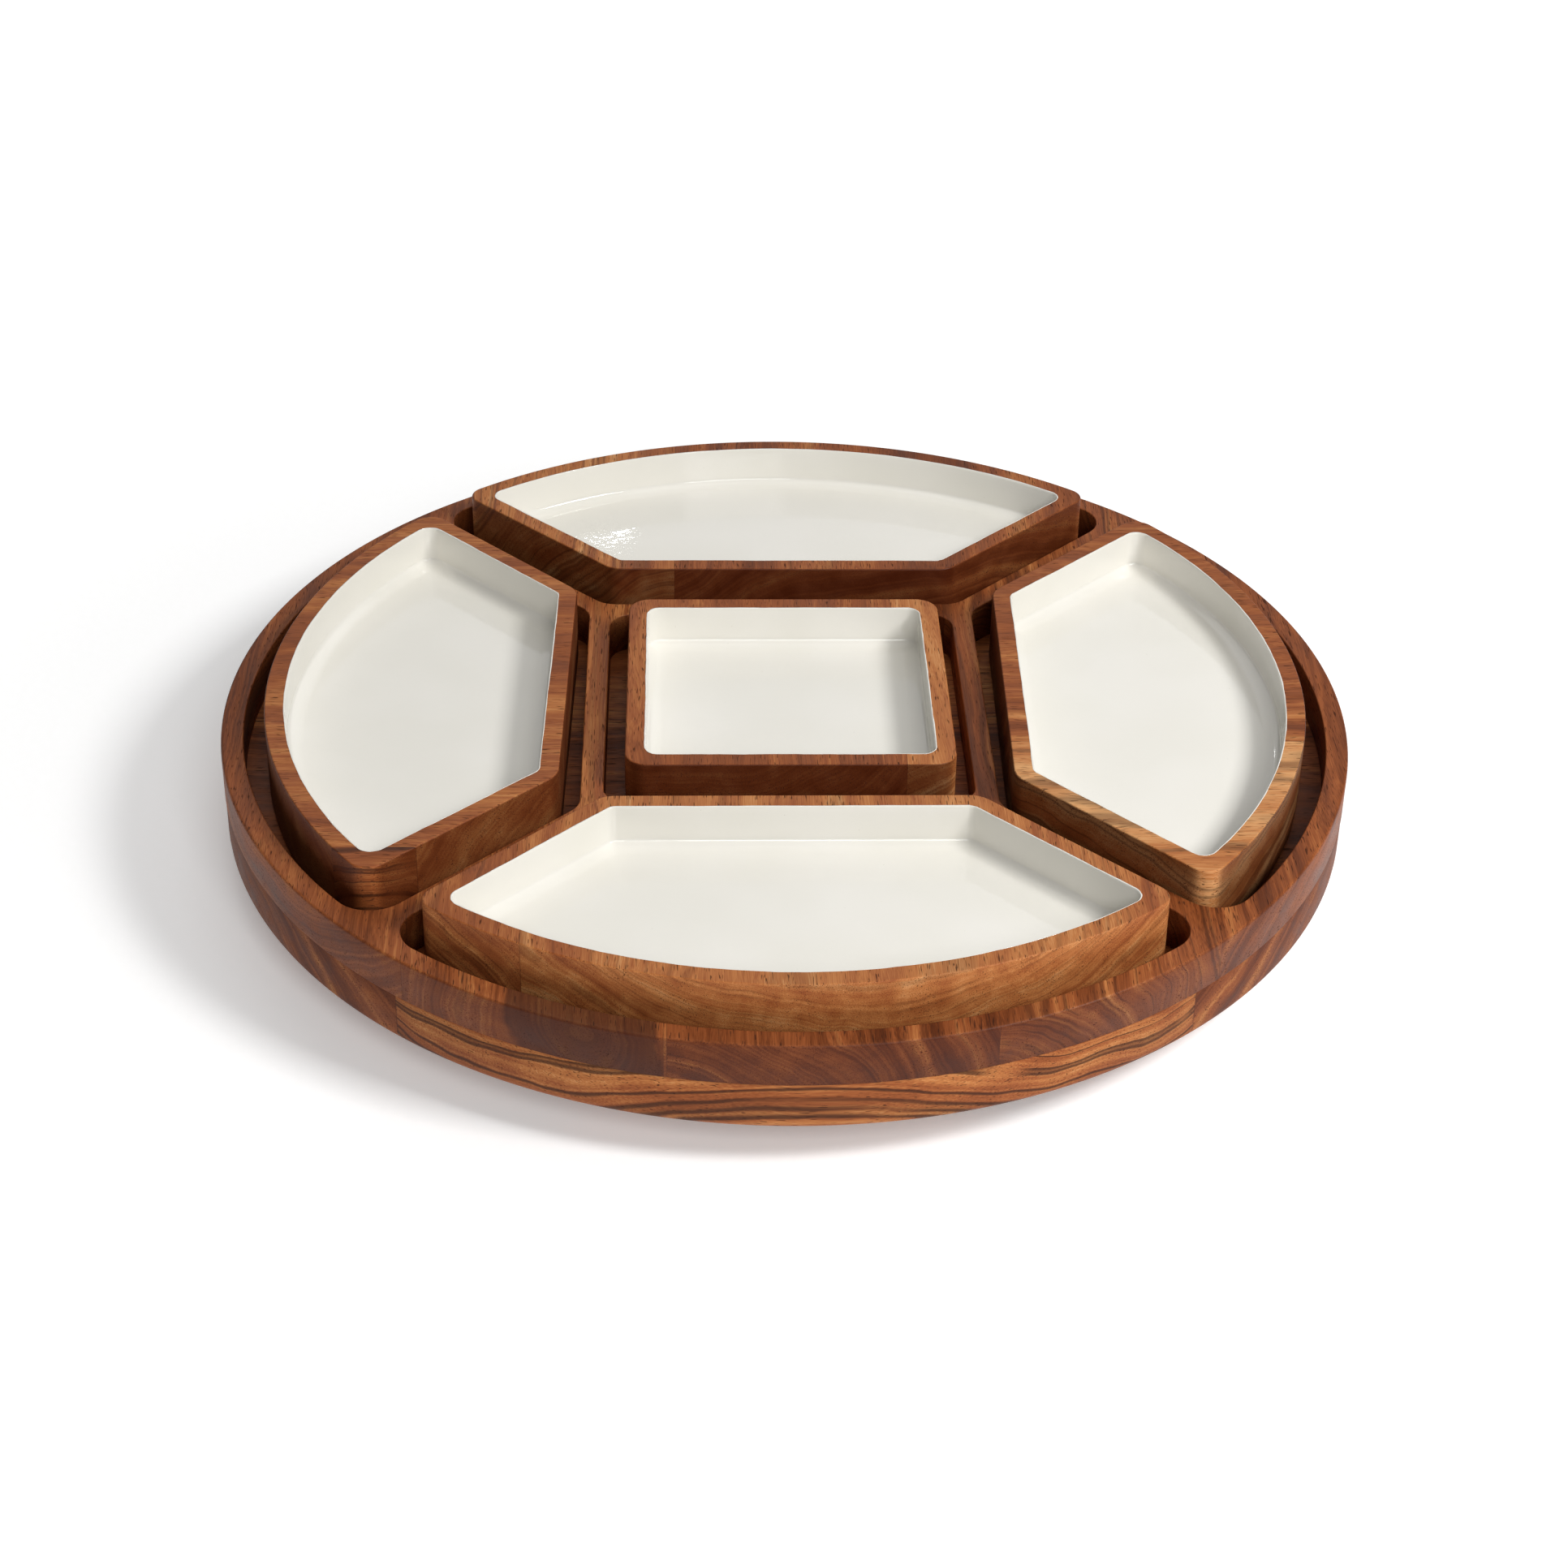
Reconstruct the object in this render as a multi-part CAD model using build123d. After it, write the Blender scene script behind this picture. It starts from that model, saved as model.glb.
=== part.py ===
from build123d import *
import os
from math import cos, radians, sin, sqrt

# Chip and dip server: a round wooden tray that turns on a ball bearing, with five
# loose wooden bowls lined with enamel. Four bowls are quarter segments round a square one.
#
# Frame: the origin is on the spin axis, on the surface that the rubber feet stand on.
# +Z is up, -Y is the side that faces a guest, +X is to the guest's right. Millimetres.

# ---------------------------------------------------------------- heights, bottom to top
FOOT_PROUD = 3.0
BASE_THICKNESS = 8.0
BEARING_HEIGHT = 7.0
LOWER_BOARD_THICKNESS = 20.2
UPPER_BOARD_THICKNESS = 17.2
BOWL_PROUD = 14.1

BASE_TOP = FOOT_PROUD + BASE_THICKNESS
BEARING_MIDDLE = BASE_TOP + BEARING_HEIGHT / 2
TRAY_BOTTOM = BASE_TOP + BEARING_HEIGHT
POCKET_FLOOR = TRAY_BOTTOM + LOWER_BOARD_THICKNESS
TRAY_TOP = POCKET_FLOOR + UPPER_BOARD_THICKNESS
RIM_TOP = TRAY_TOP + BOWL_PROUD
BOWL_HEIGHT = RIM_TOP - POCKET_FLOOR

# ---------------------------------------------------------------- tray plan
TRAY_RADIUS = 228.5
LOWER_BOARD_INSET = 0.2      # the glue line shows as a very small step
TRAY_WALL = 9.0              # wood outside the pockets
RIDGE = 9.0                  # wood between two neighbouring pockets
FINGER_GAP = 8.0             # from a bowl to its pocket, all round
POCKET_ARC_RADIUS = TRAY_RADIUS - TRAY_WALL
TRAY_TOP_EASE = 1.2          # sanded edge
TRAY_BOTTOM_ROUND = 3.4
POCKET_EDGE_EASE = 0.6

# ---------------------------------------------------------------- bowls
CENTER_BOWL_SIDE = 130.0
BOWL_WALL = 7.2              # wood only
BOWL_DEPTH = 17.7            # from the rim to the enamel floor
ENAMEL = 0.8
FLOOR_CURVE = 10.0           # radius of the curve that joins the floor to the wall
FLOOR_CURVE_WIDTH = 6.5      # the curve stops here, in a crease with the upright wall
RIM_EASE = 0.7
BOWL_FOOT_ROUND = 2.0
ENAMEL_EDGE_EASE = 0.25
CURVE_OVERHANG = FLOOR_CURVE - FLOOR_CURVE_WIDTH
CURVE_CORNER_EXTRA = 0.5

# Corner radii in plan, for the outer segments: (towards the centre, at the two tips)
POCKET_CORNERS = (12.0, 15.0)
BOWL_CORNERS = (11.0, 8.0)
LINING_CORNERS = (5.5, 6.5)
# ... and for the square one
CENTER_POCKET_CORNER = 10.0
CENTER_BOWL_CORNER = 9.0
CENTER_LINING_CORNER = 6.0

# Bearing angle of each outer bowl, and how each loose bowl has come to rest in its
# pocket: shift in X, shift in Y, turn in degrees.
OUTER_BOWLS = {"right": 0, "back": 90, "left": 180, "front": 270}
SETTLED = {
    "center": (0.5, -3.4, 0.0),
    "right": (-1.8, -5.2, -1.2),
    "back": (0.2, -2.6, -0.25),
    "left": (1.8, -1.8, -1.2),
    "front": (0.0, 0.2, 0.0),
}

# ---------------------------------------------------------------- turntable bearing
PLATE_SIDE = 152.0           # the common six-inch square plate
PLATE_CORNER = 10.0
PLATE_SHEET = 1.0
SCREW_PITCH = 128.0          # between corner holes
SCREW_CLEARANCE_RADIUS = 2.2
HUB_HOLE_RADIUS = 24.0
BALL_CIRCLE_RADIUS = 56.0
BALL_RADIUS = 2.0
BALL_COUNT = 28
BALL_PLAY = 0.3              # ball to track
TRACK_ARC = 60.0             # degrees of the track each side of its lowest point
DOME_DROP = 0.2              # dome to the bearing's middle plane
SHOULDER_DROP = 1.15         # track's edge to the middle plane
DOME_EDGE_RADIUS = 47.0
SHOULDER_RADII = (51.5, 60.5)
FLANGE_START_RADIUS = 63.0
FLANGE_JOIN_RADIUS = 66.0
CAGE_RADII = (52.5, 59.5)
CAGE_THICKNESS = 1.6
CAGE_POCKET_PLAY = 0.1
EYELET_RADII = (22.2, 23.7, 29.0)    # bore, tube, rolled flange
EYELET_SHEET = 1.0
EYELET_PLAY = 0.3

# ---------------------------------------------------------------- base, feet, screws
BASE_RADIUS = 120.0
BASE_EDGE_ROUND = 1.5
ACCESS_HOLE_RADIUS = 8.0     # lets a screwdriver reach the upper plate's screws
SCREW_CIRCLE_RADIUS = SCREW_PITCH / sqrt(2)
FOOT_RADIUS = 9.0
FOOT_RECESS = 2.0
FOOT_RECESS_PLAY = 0.1
FOOT_EDGE_ROUND = 1.2
FOOT_CIRCLE_RADIUS = 104.0
DIAGONALS = (45, 135, 225, 315)
QUARTERS = (0, 90, 180, 270)

SCREW_RADIUS = 1.9
PILOT_RADIUS = 1.7           # the thread bites this much into the wood
PILOT_EXTRA = 0.4
SCREW_HEAD_RADIUS = 3.8
SCREW_HEAD_HEIGHT = 2.0
SCREW_HEAD_ROUND = 1.2
SCREW_TIP = 1.8
BASE_SCREW_LENGTH = 7.5
TRAY_SCREW_LENGTH = 11.0
RECESS_LENGTH = 4.2
RECESS_WIDTH = 0.9
RECESS_DEPTH = 1.0

CUT_MARGIN = 5.0             # how far a cutting solid passes the face it opens
SAME_PLACE = 1e-6            # two points closer than this are one point


# ---------------------------------------------------------------- plan outlines
def segment_plan(inner, side, arc_radius, inner_corner, tip_corner):
    """Quarter segment that opens towards +X.

    inner is the distance of its straight inner edge from the spin axis, and side is the
    distance of its two slanted edges from the diagonals.
    """
    along = sqrt(arc_radius**2 - side**2)
    tip_x, tip_y = (along + side) / sqrt(2), (along - side) / sqrt(2)
    corner_y = inner - side * sqrt(2)
    outline = [
        Line((inner, -corner_y), (inner, corner_y)),
        Line((inner, corner_y), (tip_x, tip_y)),
        ThreePointArc((tip_x, tip_y), (arc_radius, 0), (tip_x, -tip_y)),
        Line((tip_x, -tip_y), (inner, -corner_y)),
    ]
    plan = make_face(outline)
    corners = plan.vertices().sort_by(Axis.X)
    plan = fillet(corners[:2], inner_corner)
    tips = [v for v in plan.vertices() if abs(v.X - tip_x) < SAME_PLACE]
    return fillet(tips, tip_corner)


def outer_plan(grow, corners):
    """Segment bowl's outline, moved outwards by grow (inwards if negative)."""
    inner = CENTER_BOWL_SIDE / 2 + FINGER_GAP + RIDGE + FINGER_GAP
    side = RIDGE / 2 + FINGER_GAP
    arc_radius = POCKET_ARC_RADIUS - FINGER_GAP
    return segment_plan(inner - grow, side - grow, arc_radius + grow, *corners)


def center_plan(grow, corner):
    """Square bowl's outline, moved outwards by grow."""
    side = CENTER_BOWL_SIDE + 2 * grow
    return RectangleRounded(side, side, corner)


def shrunk(corners, step):
    """Corner radii of an outline that lies step inside another."""
    return tuple(radius - step for radius in corners)


# ---------------------------------------------------------------- tray
def tray_upper_board():
    """Top board, with five pockets sawn right through it."""
    board = Pos(0, 0, POCKET_FLOOR) * extrude(Circle(TRAY_RADIUS), UPPER_BOARD_THICKNESS)
    board = fillet(board.edges().group_by(Axis.Z)[-1], TRAY_TOP_EASE)
    segment = outer_plan(FINGER_GAP, POCKET_CORNERS)
    plans = [Rot(0, 0, angle) * segment for angle in OUTER_BOWLS.values()]
    plans.append(center_plan(FINGER_GAP, CENTER_POCKET_CORNER))
    cut_height = UPPER_BOARD_THICKNESS + 2 * CUT_MARGIN
    for plan in plans:
        board -= Pos(0, 0, POCKET_FLOOR - CUT_MARGIN) * extrude(plan, cut_height)
    pocket_edges = [
        edge
        for edge in board.edges().group_by(Axis.Z)[-1]
        if edge.center(CenterOf.BOUNDING_BOX).Z > TRAY_TOP - POCKET_EDGE_EASE / 2
        and not is_tray_edge(edge)
    ]
    return fillet(pocket_edges, POCKET_EDGE_EASE)


def is_tray_edge(edge):
    """True for the flat top's outer circle, where the eased edge begins."""
    start = edge.position_at(0)
    return sqrt(start.X**2 + start.Y**2) > TRAY_RADIUS - TRAY_WALL / 2


def tray_lower_board():
    """Bottom board: the floor of all five pockets."""
    radius = TRAY_RADIUS - LOWER_BOARD_INSET
    board = Pos(0, 0, TRAY_BOTTOM) * extrude(Circle(radius), LOWER_BOARD_THICKNESS)
    board = fillet(board.edges().group_by(Axis.Z)[0], TRAY_BOTTOM_ROUND)
    depth = TRAY_SCREW_LENGTH - PLATE_SHEET + PILOT_EXTRA
    for place in polar_places(QUARTERS, SCREW_CIRCLE_RADIUS, TRAY_BOTTOM):
        board -= place * extrude(Circle(PILOT_RADIUS), depth)
    return board


# ---------------------------------------------------------------- bowls
def bowl_cavity(wall_plan, curve_plan, thickness):
    """Space inside a bowl, thickness outside the enamel's own surface.

    A round-nosed cutter leaves the curve at the floor, and a straight one the upright wall
    that cuts the curve off before it is vertical.
    """
    floor = RIM_TOP - BOWL_DEPTH - thickness
    height = BOWL_DEPTH + thickness + CUT_MARGIN
    upright = Pos(0, 0, floor) * extrude(wall_plan, height)
    curved = Pos(0, 0, floor) * extrude(curve_plan, height)
    curved = fillet(curved.edges().group_by(Axis.Z)[0], FLOOR_CURVE + thickness)
    return upright & curved


def wooden_bowl(outer, cavity):
    """Solid blank with its rim and foot eased, hollowed by cavity."""
    blank = Pos(0, 0, POCKET_FLOOR) * extrude(outer, BOWL_HEIGHT)
    blank = fillet(blank.edges().group_by(Axis.Z)[-1], RIM_EASE)
    blank = fillet(blank.edges().group_by(Axis.Z)[0], BOWL_FOOT_ROUND)
    return blank - cavity


def enamel_lining(cavity, inside, keep):
    """Thin coat between cavity and inside, level with the rim."""
    below_rim = Pos(0, 0, POCKET_FLOOR) * extrude(keep, BOWL_HEIGHT)
    coat = (cavity & below_rim) - inside
    top_loops = coat.faces().sort_by(Axis.Z)[-1].inner_wires()
    return chamfer(top_loops[0].edges(), ENAMEL_EDGE_EASE)


def curve_corner(thickness):
    """The round-nosed cutter's path turns in corners a little wider than its own radius."""
    return FLOOR_CURVE + thickness + CURVE_CORNER_EXTRA


def center_bowl():
    outer = center_plan(0, CENTER_BOWL_CORNER)
    cavities = []
    for thickness in (ENAMEL, 0):
        grow = thickness - BOWL_WALL - ENAMEL
        wall_plan = center_plan(grow, CENTER_LINING_CORNER - ENAMEL + thickness)
        curve_plan = center_plan(grow + CURVE_OVERHANG, curve_corner(thickness))
        cavities.append(bowl_cavity(wall_plan, curve_plan, thickness))
    return bowl_and_lining(outer, *cavities)


def outer_bowl():
    """One segment bowl and its lining, opening towards +X."""
    outer = outer_plan(0, BOWL_CORNERS)
    cavities = []
    for thickness in (ENAMEL, 0):
        grow = thickness - BOWL_WALL - ENAMEL
        wall_plan = outer_plan(grow, shrunk(LINING_CORNERS, ENAMEL - thickness))
        curve_plan = outer_plan(grow + CURVE_OVERHANG, (curve_corner(thickness),) * 2)
        cavities.append(bowl_cavity(wall_plan, curve_plan, thickness))
    return bowl_and_lining(outer, *cavities)


def bowl_and_lining(outer, wood_cavity, enamel_cavity):
    """The wood is hollowed by the wider cavity, and the enamel fills it but for the other."""
    return wooden_bowl(outer, wood_cavity), enamel_lining(wood_cavity, enamel_cavity, outer)


def settled(name, angle, middle):
    """Where a bowl rests: turned about its own middle, then shifted."""
    shift_x, shift_y, turn = SETTLED[name]
    about_middle = Pos(middle, 0, 0) * Rot(0, 0, turn) * Pos(-middle, 0, 0)
    return Pos(shift_x, shift_y, 0) * Rot(0, 0, angle) * about_middle


# ---------------------------------------------------------------- turntable bearing
def polar_places(angles, radius, height):
    """Places at height on a circle, one for each angle."""
    return [
        Pos(radius * cos(radians(a)), radius * sin(radians(a)), height) for a in angles
    ]


def pressed_plate():
    """Lower plate of the bearing, measured from its middle plane.

    A pressed sheet: a square flange, a raised dome with the hub hole, and between them a
    round track for the balls. The underside is the top side moved down by the sheet.
    """
    flange = -BEARING_HEIGHT / 2 + PLATE_SHEET
    track = BALL_RADIUS + BALL_PLAY
    half_width = sqrt(track**2 - SHOULDER_DROP**2)
    left, right = BALL_CIRCLE_RADIUS - half_width, BALL_CIRCLE_RADIUS + half_width
    before = [
        (HUB_HOLE_RADIUS, -DOME_DROP),
        (DOME_EDGE_RADIUS, -DOME_DROP),
        (SHOULDER_RADII[0], -SHOULDER_DROP),
        (left, -SHOULDER_DROP),
    ]
    after = [
        (right, -SHOULDER_DROP),
        (SHOULDER_RADII[1], -SHOULDER_DROP),
        (FLANGE_START_RADIUS, flange),
        (FLANGE_JOIN_RADIUS, flange),
    ]
    edges = []
    for drop in (0, PLATE_SHEET):
        first = [(r, 0, z - drop) for r, z in before]
        second = [(r, 0, z - drop) for r, z in after]
        lowest = (BALL_CIRCLE_RADIUS, 0, -track - drop)
        edges += [Polyline(*first), ThreePointArc(first[-1], lowest, second[0]), Polyline(*second)]
    for r, z in (before[0], after[-1]):
        edges.append(Line((r, 0, z), (r, 0, z - PLATE_SHEET)))
    dome = revolve(make_face(edges), Axis.Z)
    square = RectangleRounded(PLATE_SIDE, PLATE_SIDE, PLATE_CORNER)
    ring = square - Circle(FLANGE_JOIN_RADIUS - PLATE_SHEET)
    plate = dome + Pos(0, 0, flange - PLATE_SHEET) * extrude(ring, PLATE_SHEET)
    for place in polar_places(DIAGONALS, SCREW_CIRCLE_RADIUS, -BEARING_HEIGHT):
        plate -= place * extrude(Circle(SCREW_CLEARANCE_RADIUS), BEARING_HEIGHT)
    return plate


def turntable_lower_plate():
    return Pos(0, 0, BEARING_MIDDLE) * pressed_plate()


def turntable_upper_plate():
    """The same pressing, upside down and turned so that its corners are on the axes."""
    return Pos(0, 0, BEARING_MIDDLE) * Rot(180, 0, 45) * pressed_plate()


def ball_places(height):
    """Places of the balls, evenly spaced round their circle."""
    angles = [360 / BALL_COUNT * number for number in range(BALL_COUNT)]
    return polar_places(angles, BALL_CIRCLE_RADIUS, height)


def turntable_balls():
    places = ball_places(BEARING_MIDDLE)
    return Compound(children=[place * Sphere(BALL_RADIUS) for place in places])


def ball_cage():
    """Flat plastic ring that keeps the balls evenly spaced."""
    ring = Circle(CAGE_RADII[1]) - Circle(CAGE_RADII[0])
    for place in ball_places(0):
        ring -= place * Circle(BALL_RADIUS + CAGE_POCKET_PLAY)
    return Pos(0, 0, BEARING_MIDDLE - CAGE_THICKNESS / 2) * extrude(ring, CAGE_THICKNESS)


def hub_eyelet():
    """Rolled tube that clamps the lower plate and holds the upper one down with play."""
    bore, tube, flange = EYELET_RADII
    dome_under = DOME_DROP + PLATE_SHEET
    low = -dome_under - EYELET_SHEET
    high = dome_under + EYELET_PLAY + EYELET_SHEET
    profile = [
        (bore, 0, low),
        (flange, 0, low),
        (flange, 0, -dome_under),
        (tube, 0, -dome_under),
        (tube, 0, dome_under + EYELET_PLAY),
        (flange, 0, dome_under + EYELET_PLAY),
        (flange, 0, high),
        (bore, 0, high),
    ]
    section = make_face(Polyline(*profile, close=True))
    return Pos(0, 0, BEARING_MIDDLE) * revolve(section, Axis.Z)


# ---------------------------------------------------------------- base, feet, screws
def base_disc():
    """Wooden foot of the turntable, with recesses for the rubber feet."""
    disc = Pos(0, 0, FOOT_PROUD) * extrude(Circle(BASE_RADIUS), BASE_THICKNESS)
    disc = fillet(disc.edges(), BASE_EDGE_ROUND)
    for place in polar_places(DIAGONALS, FOOT_CIRCLE_RADIUS, 0):
        recess = Circle(FOOT_RADIUS + FOOT_RECESS_PLAY)
        disc -= place * extrude(recess, FOOT_PROUD + FOOT_RECESS)
    for place in polar_places(DIAGONALS, SCREW_CIRCLE_RADIUS, BASE_TOP):
        depth = BASE_SCREW_LENGTH - PLATE_SHEET + PILOT_EXTRA
        disc -= place * extrude(Circle(PILOT_RADIUS), -depth)
    access = extrude(Circle(ACCESS_HOLE_RADIUS), BASE_TOP + CUT_MARGIN)
    return disc - Pos(SCREW_CIRCLE_RADIUS, 0, 0) * access


def rubber_foot():
    foot = extrude(Circle(FOOT_RADIUS), FOOT_PROUD + FOOT_RECESS)
    return fillet(foot.edges().group_by(Axis.Z)[0], FOOT_EDGE_ROUND)


def pan_screw(length):
    """Pan-head wood screw, head up, with the underside of its head at the origin."""
    head = extrude(Circle(SCREW_HEAD_RADIUS), SCREW_HEAD_HEIGHT)
    head = fillet(head.edges().group_by(Axis.Z)[-1], SCREW_HEAD_ROUND)
    for turn in (0, 90):
        slot = Rectangle(RECESS_LENGTH, RECESS_WIDTH)
        slot_floor = Pos(0, 0, SCREW_HEAD_HEIGHT - RECESS_DEPTH) * Rot(0, 0, turn)
        head -= slot_floor * extrude(slot, RECESS_DEPTH)
    shank = extrude(Circle(SCREW_RADIUS), -(length - SCREW_TIP))
    tip_middle = Pos(0, 0, -length + SCREW_TIP / 2)
    tip = tip_middle * Cone(SCREW_RADIUS / 4, SCREW_RADIUS, SCREW_TIP)
    return head + shank + tip


def base_screws():
    """Driven down through the lower plate into the base disc."""
    height = BASE_TOP + PLATE_SHEET
    places = polar_places(DIAGONALS, SCREW_CIRCLE_RADIUS, height)
    return Compound(children=[place * pan_screw(BASE_SCREW_LENGTH) for place in places])


def tray_screws():
    """Driven up through the upper plate into the tray's lower board."""
    height = TRAY_BOTTOM - PLATE_SHEET
    places = polar_places(QUARTERS, SCREW_CIRCLE_RADIUS, height)
    upwards = Rot(180, 0, 0)
    screws = [place * upwards * pan_screw(TRAY_SCREW_LENGTH) for place in places]
    return Compound(children=screws)


# ---------------------------------------------------------------- all the pieces
def all_nodes():
    nodes = {
        "tray_upper_board": tray_upper_board(),
        "tray_lower_board": tray_lower_board(),
        "turntable_upper_plate": turntable_upper_plate(),
        "turntable_lower_plate": turntable_lower_plate(),
        "turntable_balls": turntable_balls(),
        "ball_cage": ball_cage(),
        "hub_eyelet": hub_eyelet(),
        "base_disc": base_disc(),
        "base_screws": base_screws(),
        "tray_screws": tray_screws(),
    }
    for number, place in enumerate(polar_places(DIAGONALS, FOOT_CIRCLE_RADIUS, 0), 1):
        nodes[f"rubber_foot_{number}"] = place * rubber_foot()
    bowl, lining = center_bowl()
    nodes["center_bowl"] = settled("center", 0, 0) * bowl
    nodes["center_lining"] = settled("center", 0, 0) * lining
    bowl, lining = outer_bowl()
    middle = (CENTER_BOWL_SIDE / 2 + POCKET_ARC_RADIUS) / 2
    for name, angle in OUTER_BOWLS.items():
        nodes[f"{name}_bowl"] = settled(name, angle, middle) * bowl
        nodes[f"{name}_lining"] = settled(name, angle, middle) * lining
    return nodes


os.makedirs("parts", exist_ok=True)
for node_name, node in all_nodes().items():
    export_step(node, f"parts/{node_name}.step")
    print(node_name, node.bounding_box().size)
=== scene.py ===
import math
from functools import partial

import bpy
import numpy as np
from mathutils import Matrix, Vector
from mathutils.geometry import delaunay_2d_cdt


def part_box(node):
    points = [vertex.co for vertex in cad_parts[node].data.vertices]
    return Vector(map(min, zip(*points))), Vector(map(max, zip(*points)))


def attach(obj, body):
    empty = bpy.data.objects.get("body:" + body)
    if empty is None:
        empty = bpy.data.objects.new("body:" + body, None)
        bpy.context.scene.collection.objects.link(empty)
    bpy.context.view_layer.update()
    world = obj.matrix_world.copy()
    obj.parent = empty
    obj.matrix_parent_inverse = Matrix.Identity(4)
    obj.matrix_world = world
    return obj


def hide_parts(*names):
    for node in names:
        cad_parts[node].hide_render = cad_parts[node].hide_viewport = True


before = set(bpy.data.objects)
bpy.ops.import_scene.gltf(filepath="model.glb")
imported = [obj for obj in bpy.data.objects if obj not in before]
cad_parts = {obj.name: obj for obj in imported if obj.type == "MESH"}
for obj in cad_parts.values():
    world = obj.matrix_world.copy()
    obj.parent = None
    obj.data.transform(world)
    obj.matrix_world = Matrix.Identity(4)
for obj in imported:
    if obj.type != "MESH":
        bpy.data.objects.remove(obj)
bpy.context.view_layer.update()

# %% [markdown]
# # A chip and dip server, dressed round its CAD frame
#
# The real thing is a round acacia tray on a ball-bearing turntable. Four quarter-segment
# bowls stand in pockets round a square one, and all five are lined with cream enamel.
# The CAD frame already holds every size and every joint. This lesson only makes what the
# eye sees: softened wooden edges, a hand-finished line between enamel and wood, the grain
# of glued staves, plated steel and rubber underneath, and a plain studio to show it in.

MM = 0.001

# %% [markdown]
# ## Heights and plan sizes
#
# Heights are read from the frame. The plan sizes of the bowls and pockets are the design's
# own dimensions, in millimetres, because a box round a turned bowl can't give them. Each
# new piece is measured against its CAD node's box when it is made.

# %% Heights and radii from the frame
def height(node, end):
    """Lowest (end 0) or highest (end 1) point of a CAD node, in millimetres."""
    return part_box(node)[end].z / MM


def radius(node):
    """Radius of a round CAD node: the least of the distances from the axis to its box."""
    low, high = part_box(node)
    return min(-low.x, -low.y, high.x, high.y) / MM


POCKET_FLOOR = height("tray_upper_board", 0)
TRAY_TOP = height("tray_upper_board", 1)
TRAY_BOTTOM = height("tray_lower_board", 0)
RIM_TOP = height("center_bowl", 1)
ENAMEL_FLOOR = height("center_lining", 0)
TRAY_RADIUS = radius("tray_upper_board")
LOWER_RADIUS = radius("tray_lower_board")
print(f"rim {RIM_TOP:.1f} mm up, tray {TRAY_RADIUS * 2:.0f} mm across")

# %% Plan sizes
ENAMEL = 0.8
BOWL_DEPTH = RIM_TOP - ENAMEL_FLOOR - ENAMEL
# The wood alone: with the enamel a bowl's wall is 8 mm.
BOWL_WALL = 7.2
TRAY_WALL = 9.0
RIDGE = 9.0
FINGER_GAP = 8.0
CENTER_BOWL_HALF = 65.0
POCKET_ARC = TRAY_RADIUS - TRAY_WALL
BOWL_MIDDLE = (CENTER_BOWL_HALF + POCKET_ARC) / 2
# The directions of the outer bowls, in degrees.
OUTER_BOWLS = {"right": 0, "back": 90, "left": 180, "front": 270}
# Loose bowls never stand quite in the middle of their pockets: shift x, shift y, degrees.
SETTLED = {
    "center": (0.5, -3.4, 0.0),
    "right": (-1.8, -5.2, -1.2),
    "back": (0.2, -2.6, -0.25),
    "left": (1.8, -1.8, -1.2),
    "front": (0.0, 0.2, 0.0),
}
print(f"bowls {BOWL_DEPTH:.1f} mm deep, {FINGER_GAP:.0f} mm of room for fingers round each")

# %% [markdown]
# ## Outlines as functions
#
# Every wall here follows one of two closed outlines: a rounded square, or a quarter
# segment with two straight slanted sides and an outer arc. They could be drawn as curves,
# but then walls, enamel and softened edges would each need a drawing of their own. As
# functions they work for any offset and any corner radius. They always give the same
# number of points in the same order, so rings at different offsets join point by point.

# %% Arcs and straight stretches
CORNER_POINTS = 12
SIDE_POINTS = 30
ARC_POINTS = 84


def arc(center, radius, start, end, count):
    """center + radius * (cos t, sin t), with t going evenly from start to end."""
    t = np.linspace(start, end, count)
    return np.c_[center[0] + radius * np.cos(t), center[1] + radius * np.sin(t)]


def between(start, end, count):
    """Points strictly between two points: (1 - t) * start + t * end, evenly spaced."""
    t = np.linspace(0, 1, count + 2)[1:-1, None]
    return (1 - t) * start + t * end


def joined(runs, counts):
    """Closed outline: each curved run, then a straight stretch to the next run."""
    parts = []
    for run, following, count in zip(runs, runs[1:] + runs[:1], counts):
        parts += [run, between(run[-1], following[0], count)]
    return np.vstack(parts)


def turned(points, degrees):
    """Points turned about the origin."""
    c, s = math.cos(math.radians(degrees)), math.sin(math.radians(degrees))
    return points @ np.array([[c, s], [-s, c]])


print("a corner has", CORNER_POINTS, "points, a straight side", SIDE_POINTS, "between corners")


# %% The two outlines
def square_outline(half, corner):
    """Rounded square: four quarter circles round the centre, joined by straight sides."""
    quarter = math.pi / 2
    middle = half - corner
    signs = ((1, -1), (1, 1), (-1, 1), (-1, -1))
    runs = [
        arc((sx * middle, sy * middle), corner, (k - 1) * quarter, k * quarter, CORNER_POINTS)
        for k, (sx, sy) in enumerate(signs)
    ]
    return joined(runs, (SIDE_POINTS,) * len(runs))


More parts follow.
